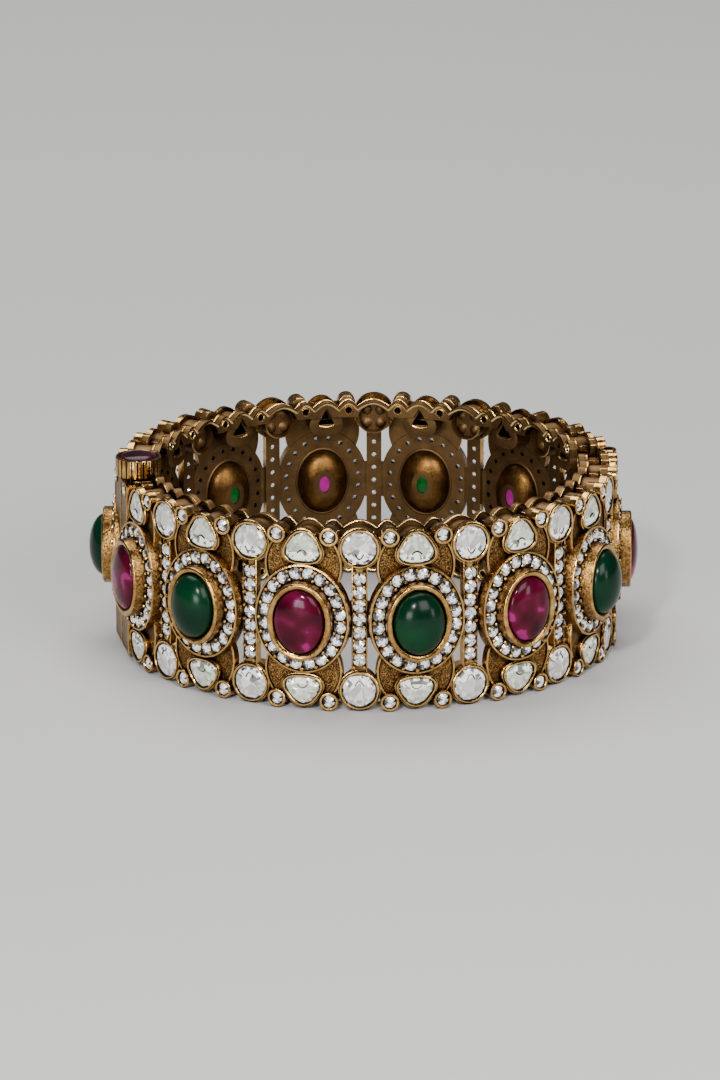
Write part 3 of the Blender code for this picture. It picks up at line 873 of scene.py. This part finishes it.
pear = {
    "width": 5.9, "wall": 33.75, "foot": 33.0, "margin": 0.58,
    "upper": {"y": 9.76, "stoneHeight": 4.0}, "lower": {"y": 9.98, "stoneHeight": 3.6},
    "stoneWidth": 4.6, "stoneFoot": 33.5, "stoneWall": 0.22, "stoneDown": 0.02,
    "stoneRings": [(0.12, 0.12), (0.3, 0.1), (0.45, 0.05)],
    "markDown": 0.85, "markRise": 0.46, "markDrop": -0.4,
}
pearBack = {
    "width": 4.8, "height": 4.3, "y": 9.62, "end": 29.5, "depth": 2.4, "edge": 0.14,
    "opening": [(-1.15, 9.15), (1.15, 9.15), (0, 11.2)],
    "lipHalfWidth": 1.05, "lipDrop": 0.22, "lipY": 8.98, "lipWire": 0.46,
}


def addTriangle(width, height, back, face, y, rounding=46, materials=finishes):
    # rounded triangle with its point outwards from mid-height
    deselectAll()
    bpy.ops.mesh.primitive_circle_add(vertices=3, radius=1, fill_type="NGON", location=(0, 0, back))
    piece = bpy.context.object
    bpy.ops.object.mode_set(mode="EDIT")
    bpy.ops.mesh.bevel(affect="VERTICES", offset_type="PERCENT", offset_pct=rounding, segments=9, profile=0.5)
    bpy.ops.mesh.select_all(action="SELECT")
    drawOut(face - back)
    bpy.ops.mesh.select_all(action="SELECT")
    bpy.ops.mesh.normals_make_consistent(inside=False)
    endEdit()
    bpy.ops.object.origin_set(type="ORIGIN_GEOMETRY", center="BOUNDS")
    piece.dimensions = (width, height, face - back)
    piece.location = (0, y, (back + face) / 2)
    return takePiece(materials)


def makePear(rim):
    height = pear[rim]["stoneHeight"] + 2 * pear["margin"]
    collet = addTriangle(pear["width"], height, pear["foot"], pear["wall"], pear[rim]["y"])
    pickFaces(collet, facesOut)
    workRings(collet, settingRings, last=oxidised)
    end = pearBack["end"]
    back = addTriangle(pearBack["width"], pearBack["height"], end, pear["foot"] + 0.1, pearBack["y"])
    paint(back, filed)
    cutWith(back, [addPlate(pearBack["opening"], end - 1, end + pearBack["depth"])])
    softenEdges(back, pearBack["edge"], finish=filed)
    # the lip under the opening is painted bright: a painted highlight
    lip = addSag(pearBack["lipHalfWidth"], pearBack["lipDrop"], pearBack["lipY"], end, pearBack["lipWire"])
    paint(lip, highlightPainted)
    return [collet, back, lip]


def makePearStone(rim):
    y, foot = pear[rim]["y"], pear["stoneFoot"]
    girdle = foot + pear["stoneWall"]
    blank = addTriangle(
        pear["stoneWidth"], pear[rim]["stoneHeight"], foot, girdle, y - pear["stoneDown"],
        rounding=44, materials=[pearPolki],
    )
    stone = makePolki(blank, pear["stoneRings"], girdle)
    mark = makeMark(y - pear["markDown"], foot + pear["markRise"], pear["markDrop"], pearPolki)
    return joined([stone, mark])


small = {
    "share": 0.265, "radius": 1.27, "y": 11.36, "foot": 33.0, "wall": 34.1,
    "stoneRadius": 0.78, "stoneLevel": 33.95,
    "stemRadius": 1.24, "stemBack": 31.9, "postRadius": 0.9, "postY": 11.05, "edge": 0.07,
}
# the third ring is painted bright: a painted highlight
smallRings = [
    (0.05, 0.07, polished), (0.1, 0.03, polished), (0.12, -0.02, highlightPainted), (0.1, -0.12, polished),
    (0.07, -0.22, oxidised),
]


def makeSmall():
    y = small["y"]
    collet = addRound(small["radius"], small["foot"], small["wall"], y=y)
    pickFaces(collet, facesOut)
    workRings(collet, smallRings, last=oxidised)
    stem = addRound(1, small["stemBack"], small["foot"] + 0.1, sides=8)
    pickAll(stem)
    bpy.ops.transform.rotate(value=pi / 8, orient_axis="Z", center_override=(0, 0, 0))
    endEdit()
    stem.scale = (small["stemRadius"], small["stemRadius"], 1)
    stem.location.y = y
    activate(stem)
    bpy.ops.object.transform_apply()
    paint(stem, filed)
    softenEdges(stem, small["edge"], finish=polished)
    stone = makeZirconia(small["stoneRadius"], small["stoneLevel"])
    stone.matrix_world = Matrix.Translation((0, y, 0))
    return [collet, stem], [stone]


# bars between the ovals
bar = {
    "width": 2.1, "halfLength": 7.8, "back": 32.55, "wall": 33.62,
    "stones": 7, "stonePitch": 1.86, "stoneRadius": 0.84, "stoneLevel": 33.6,
    "bead": 0.28, "beadSpread": 0.68, "beadLevel": 33.92, "hole": 0.34,
    "bridgeFrom": 0.95, "bridgeTo": 1.8, "bridgeHeight": 5.0, "bridgeBack": 32.95,
}
barRings = [(0.04, 0.05, polished), (0.1, 0.03, polished), (0.04, -0.2, polished)]


def makeBar():
    strip = addBox(bar["width"], 2 * bar["halfLength"], bar["back"], bar["wall"])
    pickFaces(strip, facesOut)
    workRings(strip, barRings, last=polished)
    paint(strip, filed, facesIn)
    places = [(0, (number - (bar["stones"] - 1) / 2) * bar["stonePitch"]) for number in range(bar["stones"])]
    drill(strip, bar["hole"], places)
    beads = []
    for number in range(bar["stones"] + 1):
        y = (number - bar["stones"] / 2) * bar["stonePitch"]
        beads += [(-bar["beadSpread"], y), (bar["beadSpread"], y)]
    bridges = []
    for side in (-1, 1):
        width = bar["bridgeTo"] - bar["bridgeFrom"]
        x = side * (bar["bridgeFrom"] + width / 2)
        bridge = addBox(width, bar["bridgeHeight"], bar["bridgeBack"], band["plateFace"] + 0.1, x=x)
        paint(bridge, oxidised)
        paint(bridge, filed, facesIn)
        bridges.append(bridge)
    stones = scatterZirconia(bar["stoneRadius"], bar["stoneLevel"], places)
    return [strip, addBeads(beads, bar["bead"], bar["beadLevel"])] + bridges, stones


# scalloped ribbons
ribbon = {
    "back": band["inner"], "face": band["inner"] + band["ribbonWall"],
    "peak": 12.5, "rise": 1.0, "foot": 10.25, "spare": 0.3, "edge": 0.07, "pearHalf": 1.76,
    "pearHole": [(-1.5, 9.3), (1.5, 9.3), (0, 11.6)], "roundHalf": 2.22, "roundHole": 2.2, "smallHalf": 1.29,
    "smallHole": 0.42, "smallHoleY": 11.26, "smallHoleDepth": 0.6, "ringMargin": 0.12, "ringThickness": 0.26,
    "wires": [      # along the wave: level, thickness, how far under the crest
        (band["inner"] + 0.24, 0.68, 0.2), (band["inner"] + band["ribbonWall"] + 0.06, 0.42, -0.08),
    ],
}


def waveLine(halfWidth, drop=0.0, steps=12):
    # one wave of the scalloped edge, from right to left
    valley = ribbon["peak"] - ribbon["rise"] - drop
    sides = [halfWidth * (1 - 2 * step / steps) for step in range(steps + 1)]
    return [(x, valley + ribbon["rise"] * cos(pi / 2 * x / halfWidth)) for x in sides]


def makeScallop(halfWidth, opening):
    # ribbon plate under one wave, with its opening and its edge wires, painted bright as a highlight
    valley = ribbon["peak"] - ribbon["rise"]
    spare = halfWidth + ribbon["spare"]
    outline = [(-spare, valley), (-spare, ribbon["foot"]), (spare, ribbon["foot"]), (spare, valley)]
    plate = addPlate(outline + waveLine(halfWidth), ribbon["back"], ribbon["face"])
    paint(plate, filed)
    cutWith(plate, [opening])
    softenEdges(plate, ribbon["edge"], 1, finish=filed)
    trimEnds(plate, halfWidth)
    pieces = [plate]
    for level, thickness, drop in ribbon["wires"]:
        wire = addBent(waveLine(halfWidth + 0.04, drop), level, thickness)
        # the wires are painted bright: a painted highlight along the wave
        paint(wire, highlightPainted)
        pieces.append(wire)
    return pieces


def trimEnds(plate, halfWidth):
    # both ends are cut off square, so that neighbours meet flush
    for side in (-1, 1):
        pickAll(plate)
        bpy.ops.mesh.bisect(
            plane_co=(side * halfWidth, 0, 0), plane_no=(side, 0, 0), use_fill=True, clear_outer=True
        )
    endEdit()


def makeRoundScallop():
    opening = addRound(ribbon["roundHole"], ribbon["back"] - 1, ribbon["face"] + 1, y=roundSet["y"], sides=40)
    return makeScallop(ribbon["roundHalf"], opening)


def makePearScallop():
    opening = addPlate(ribbon["pearHole"], ribbon["back"] - 1, ribbon["face"] + 1)
    return makeScallop(ribbon["pearHalf"], opening)


def makeSmallScallop():
    y, hole = ribbon["smallHoleY"], ribbon["smallHole"]
    ringRadius = hole + ribbon["ringMargin"]
    opening = addRound(hole, ribbon["back"] - 1, ribbon["back"] + ribbon["smallHoleDepth"], y=y, sides=20)
    ring = addWire(
        ringRadius, ringRadius, ribbon["ringThickness"], ribbon["back"] + 0.02, y=y, steps=24, sides=6
    )
    # the ring round the hole is painted bright: a painted highlight
    paint(ring, highlightPainted)
    postFrom, postTo = ribbon["face"] - 0.1, small["stemBack"] + 0.1
    post = addRound(small["postRadius"], postFrom, postTo, y=small["postY"], sides=8)
    paint(post, oxidised)
    softenEdges(post, small["edge"], 1, finish=polished)
    return makeScallop(ribbon["smallHalf"], opening) + [ring, post]


# clasp: its heights count from the floor
clasp = {
    "low": 0.8, "high": 24.5, "middleHalf": 4.5, "gap": 0.3,
    "halfWidth": 2.6, "back": 28.9, "face": 33.0, "edge": 0.35,
    "plateReach": 5.0, "plateBack": 32.62, "plateFace": 33.9, "plateLow": 0.97, "plateHigh": 24.33,
    "stoneX": 3.6, "stoneY": 11.0, "stoneRadius": 0.75, "stoneLevel": 33.98,
    "wireRadius": 0.85, "wireThickness": 0.24, "wireLevel": 34.02,
    "clearance": 0.3,      # in units round the band
}
plateRings = [(0.06, 0.08, polished), (0.16, 0.02, sandblasted), (0.05, -0.08, sandblasted)]


def makeKnuckle(low, high):
    y = (low + high) / 2 - band["halfHeight"]
    block = addBox(2 * clasp["halfWidth"], high - low, clasp["back"], clasp["face"], y=y)
    softenEdges(block, clasp["edge"], 3)
    return block


def addSidePlate(side, near, far, height, back, face, y=0):
    # sandblasted plate beside the clasp or the hinge, with a polished edge
    plate = addBox(far - near, height, back, face, x=side * (far + near) / 2, y=y)
    pickFaces(plate, facesOut)
    workRings(plate, plateRings, last=sandblasted)
    return plate


def makeClaspPlate(side):
    height = clasp["plateHigh"] - clasp["plateLow"]
    y = (clasp["plateHigh"] + clasp["plateLow"]) / 2 - band["halfHeight"]
    plate = addSidePlate(
        side, clasp["gap"] / 2, clasp["plateReach"], height, clasp["plateBack"], clasp["plateFace"], y
    )
    stone = makeZirconia(clasp["stoneRadius"], clasp["stoneLevel"])
    stone.matrix_world = Matrix.Translation((side * clasp["stoneX"], clasp["stoneY"], 0))
    wire = addWire(
        clasp["wireRadius"], clasp["wireRadius"], clasp["wireThickness"], clasp["wireLevel"],
        x=side * clasp["stoneX"], y=clasp["stoneY"], steps=20, sides=6,
    )
    return [plate, wire], [stone]


# thumb screw, modelled upright on its own axis: heights count from the floor
screw = {
    "fromAxis": 31.5, "radius": 3.1, "bottom": 24.8, "top": 27.3, "crown": 0.12, "edge": 0.05,
    "flutes": 24, "sidesPerFlute": 4, "fluteDepth": 0.24, "pinRadius": 0.7, "pinEnd": 4.0, "pinInKnob": 0.2,
    "pinEdge": 0.15, "stoneRadius": 2.5, "stoneApex": 27.78, "stoneGirdle": 27.1, "stoneBack": 26.75,
}
screwRings = [
    (0.08, 0.1, polished), (0.16, 0.02, polished), (0.1, -0.08, polished), (0.1, -0.1, oxidised),
    (0.08, 0.1, polished), (0.06, -0.2, oxidised),
]


def isFlute(face):
    # one side in four, of the knob's outer wall
    sides = screw["flutes"] * screw["sidesPerFlute"]
    step = round(atan2(face.center.y, face.center.x) / (2 * pi) * sides - 0.5)
    return abs(face.normal.z) < 0.1 and face.area > 0.3 and step % screw["sidesPerFlute"] == 0


def makeKnob():
    sides = screw["flutes"] * screw["sidesPerFlute"]
    knob = addRound(screw["radius"], screw["bottom"], screw["top"] - screw["crown"], sides=sides)
    pickFaces(knob, facesOut)
    workRings(knob, screwRings, last=oxidised)
    pickFaces(knob, isFlute)
    knob.active_material_index = oxidised
    bpy.ops.object.material_slot_assign()
    bpy.ops.mesh.inset(thickness=0.02, depth=-screw["fluteDepth"], use_individual=True)
    endEdit()
    softenEdges(knob, screw["edge"], 2, 50)
    pin = addRound(screw["pinRadius"], screw["pinEnd"], screw["bottom"] + screw["pinInKnob"])
    softenEdges(pin, screw["pinEdge"])
    return [knob, pin]


def makeKnobStone():
    radius, girdle = screw["stoneRadius"], screw["stoneGirdle"]
    return [addDomed(radius, radius, screw["stoneApex"], girdle, screw["stoneBack"], 40, 20, shadedKnobGlass)]


# hinge: its heights count from the floor
hinge = {
    "low": 0.6, "high": 24.7, "middleHalf": 4.5, "gap": 0.3,
    "radius": 1.15, "axis": 33.65, "edge": 0.14, "bore": 0.62,
    "plateNear": 0.25, "plateFar": 3.6, "plateHeight": 23.4, "plateBack": 32.6, "plateFace": 33.18,
    "armNear": 0.4, "armFar": 1.6,
}


def addRod(radius, length, sides, y=0):
    deselectAll()
    bpy.ops.mesh.primitive_cylinder_add(
        vertices=sides, radius=radius, depth=length, rotation=(pi / 2, 0, 0), location=(0, y, hinge["axis"])
    )
    return takePiece()


def makeBarrel(low, high):
    barrel = addRod(hinge["radius"], high - low, 32, (low + high) / 2 - band["halfHeight"])
    softenEdges(barrel, hinge["edge"])
    cutWith(barrel, [addRod(hinge["bore"], 40, 20)])
    return barrel


def makeHingePlate(side):
    height, back, face = hinge["plateHeight"], hinge["plateBack"], hinge["plateFace"]
    plate = addSidePlate(side, hinge["plateNear"], hinge["plateFar"], height, back, face)
    near, far = hinge["armNear"], hinge["armFar"]
    return [plate, addBox(far - near, height, back, face, x=side * (near + far) / 2)]


# setting out
haloGold, haloStones = makeHalo()
collar = makeBezel()
backDome = makeBackDome()
ears = makeDisc()
pearGold = {rim: makePear(rim) for rim in ("upper", "lower")}
roundGold = makeRound()
# hand-cut stones differ, so each kind comes in a few cuts
pearStones = {rim: [makePearStone(rim) for _ in range(3)] for rim in ("upper", "lower")}
roundStones = [makeRoundStone() for _ in range(4)]
smallGold, smallStones = makeSmall()
barGold, barStones = makeBar()
roundScallop = makeRoundScallop()
pearScallop = makePearScallop()
smallScallop = makeSmallScallop()
print("masters modelled")

bothRims = (False, True)
claspPlaces = (band["claspBar"], band["claspBar"] + unitCount)
for name, half in halves.items():
    body, node = half["body"], half["node"]
    bars = range(half["first"], half["last"])
    ovals = [place + 0.5 for place in bars]
    inner = list(bars)[1:]
    quarters = [place + share for place in bars for share in (small["share"], 1 - small["share"])]
    # where the clasp's plates lie, the small settings above and below give way to them
    clearance = clasp["clearance"]
    smalls = [place for place in quarters if min(abs(place - end) for end in claspPlaces) > clearance]
    finishPiece(name + "_halo_plates", setOut(haloGold, ovals), body, node)
    finishPiece(name + "_bezels", setOut([collar], ovals), body, node)
    finishPiece(name + "_back_domes", setOut(backDome, ovals), body, node, angle=50)
    finishPiece(name + "_discs", setOut(ears, ovals, bothRims), body, node)
    pears = setOut(pearGold["upper"], ovals, (False,)) + setOut(pearGold["lower"], ovals, (True,))
    finishPiece(name + "_pear_bezels", pears, body, node)
    finishPiece(name + "_round_bezels", setOut(roundGold, inner, bothRims), body, node)
    finishPiece(name + "_small_bezels", setOut(smallGold, smalls, bothRims), body, node)
    finishPiece(name + "_bars", setOut(barGold, inner), body, node)
    arches = setOut(pearScallop, ovals, bothRims) + setOut(roundScallop, inner, bothRims)
    finishPiece(name + "_ribbons", arches + setOut(smallScallop, quarters, bothRims), body, node)
    plateStones = setOut([haloStones], ovals) + setOut([barStones], inner)
    finishFacets(name + "_zirconia", plateStones + setOut(smallStones, smalls, bothRims), body, node)
    rounds = setOutMixed(roundStones, inner, False) + setOutMixed(roundStones, inner, True)
    finishFacets(name + "_round_polki", rounds, body, node)
    drops = setOutMixed(pearStones["upper"], ovals, False) + setOutMixed(pearStones["lower"], ovals, True)
    finishFacets(name + "_pear_polki", drops, body, node)
print("halves set out")

removeAll(haloGold + [haloStones, collar, barStones] + backDome + ears + roundGold + roundStones)
for rim in ("upper", "lower"):
    removeAll(pearGold[rim] + pearStones[rim])
removeAll(smallGold + smallStones + barGold + roundScallop + pearScallop + smallScallop)

for number in range(unitCount):
    place = number + 0.5
    kind = "ruby" if number % 2 else "emerald"
    body = "back_half" if band["hingeBar"] < place < band["claspBar"] + unitCount else "front_half"
    masters = makeCabochon(kind)
    finishPiece(
        f"stone_{kind}_{number:02d}", setOut(masters, [place]), body, f"cabochon_{number:02d}",
        angle=60,
    )
    removeAll(masters)
print("cabochons set")


def splitColumn(column):
    # heights of the low, middle and high knuckle, with a gap between them
    low = band["halfHeight"] - column["middleHalf"]
    high = band["halfHeight"] + column["middleHalf"]
    return (column["low"], low - column["gap"]), (low, high), (high + column["gap"], column["high"])


lowKnuckle, midKnuckle, highKnuckle = splitColumn(clasp)
lowBarrel, midBarrel, highBarrel = splitColumn(hinge)
for name, knuckles, barrels, side in (
    ("front", (lowKnuckle, highKnuckle), (lowBarrel, highBarrel), 1),
    ("back", (midKnuckle,), (midBarrel,), -1),
):
    body, node = halves[name]["body"], halves[name]["node"]
    plateGold, plateStones = makeClaspPlate(side)
    masters = [makeKnuckle(*span) for span in knuckles] + plateGold
    finishPiece(name + "_clasp", setOut(masters, [band["claspBar"]]), body, node)
    finishFacets(name + "_clasp_stones", setOut(plateStones, [band["claspBar"]]), body, node)
    hinges = [makeBarrel(*span) for span in barrels] + makeHingePlate(-side)
    finishPiece(name + "_hinge", setOut(hinges, [band["hingeBar"]]), body, node)
    removeAll(masters + plateStones + hinges)

turn = band["claspBar"] * pitch
reach = screw["fromAxis"] * mm
screwPlace = Matrix.Translation((reach * sin(turn), -reach * cos(turn), 0)) @ Matrix.Scale(mm, 4)
for name, masters, node, slotName in (
    ("thumb_screw", makeKnob(), "clasp_screw", "antique_gold"),
    ("thumb_screw_ruby", makeKnobStone(), "knob_stone", "ruby_glass"),
):
    finishPiece(name, [copyTo(master, screwPlace) for master in masters], "screw", node)
    removeAll(masters)
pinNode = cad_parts["hinge_pin"]
pinNode.data.materials.clear()
pinNode.data.materials.append(polishedGold)
print("clasp and hinge made")


# studio, in metres and watts
studio = {
    "floor": "#b9b8b6", "floorLight": "#bdbcba", "floorSize": 6, "floorClouds": 3, "floorRoughness": 0.75,
    "world": "#8f9296", "worldStrength": 0.34,
    "lights": [      # name, place, width, height, watts
        ("overhead softbox", (-0.12, 0.34, 0.9), 0.9, 0.8, 11.4),
        ("left window", (-0.225, -0.556, 0.12), 0.22, 0.15, 1.5),
        ("high front softbox", (0.275, -0.407, 0.344), 0.34, 0.3, 2.4),
        ("right window", (0.52, -0.3, 0.12), 0.1, 0.16, 0.4),
        ("lamp by the camera", (-0.14, -0.7, 0.5), 0.07, 0.07, 4.5),
    ],
}


def addFloor():
    # Smooth painted board under soft daylight
    material, tree, shader, where = newMaterial("paintedStudioFloor")
    cloud = addNode(tree, "ShaderNodeTexNoise", {}, {"Vector": where, "Scale": studio["floorClouds"]})
    tone = mixColours(tree, cloud.outputs["Fac"], linear(studio["floor"]), linear(studio["floorLight"]))
    fillInputs(tree, shader, {"Base Color": tone, "Roughness": studio["floorRoughness"]})
    deselectAll()
    bpy.ops.mesh.primitive_plane_add(size=studio["floorSize"], location=(0, 0, 0))
    floor = bpy.context.object
    floor.name = "studio_floor"
    floor.data.materials.append(material)


def addLights():
    world = bpy.data.worlds.new("studio")
    world.use_nodes = True
    background = world.node_tree.nodes["Background"]
    background.inputs["Color"].default_value = linear(studio["world"])
    background.inputs["Strength"].default_value = studio["worldStrength"]
    bpy.context.scene.world = world
    for name, place, width, height, watts in studio["lights"]:
        data = bpy.data.lights.new(name, "AREA")
        data.shape = "RECTANGLE"
        data.size, data.size_y = width, height
        data.energy = watts
        lamp = bpy.data.objects.new(name, data)
        bpy.context.collection.objects.link(lamp)
        lamp.location = place
        lamp.rotation_euler = lamp.location.to_track_quat("Z", "Y").to_euler()
        lamp.visible_camera = False


# millimetres and degrees
lens = {"place": (25.88, -873.48, 276.22), "tilt": (73.27, 0, 1.76), "length": 222.8}


def addCamera():
    data = bpy.data.cameras.new("camera")
    data.lens = lens["length"]
    camera = bpy.data.objects.new("camera", data)
    bpy.context.collection.objects.link(camera)
    camera.location = [part * mm for part in lens["place"]]
    camera.rotation_euler = [radians(part) for part in lens["tilt"]]
    bpy.context.scene.camera = camera


addFloor()
addLights()
addCamera()
print("studio ready")
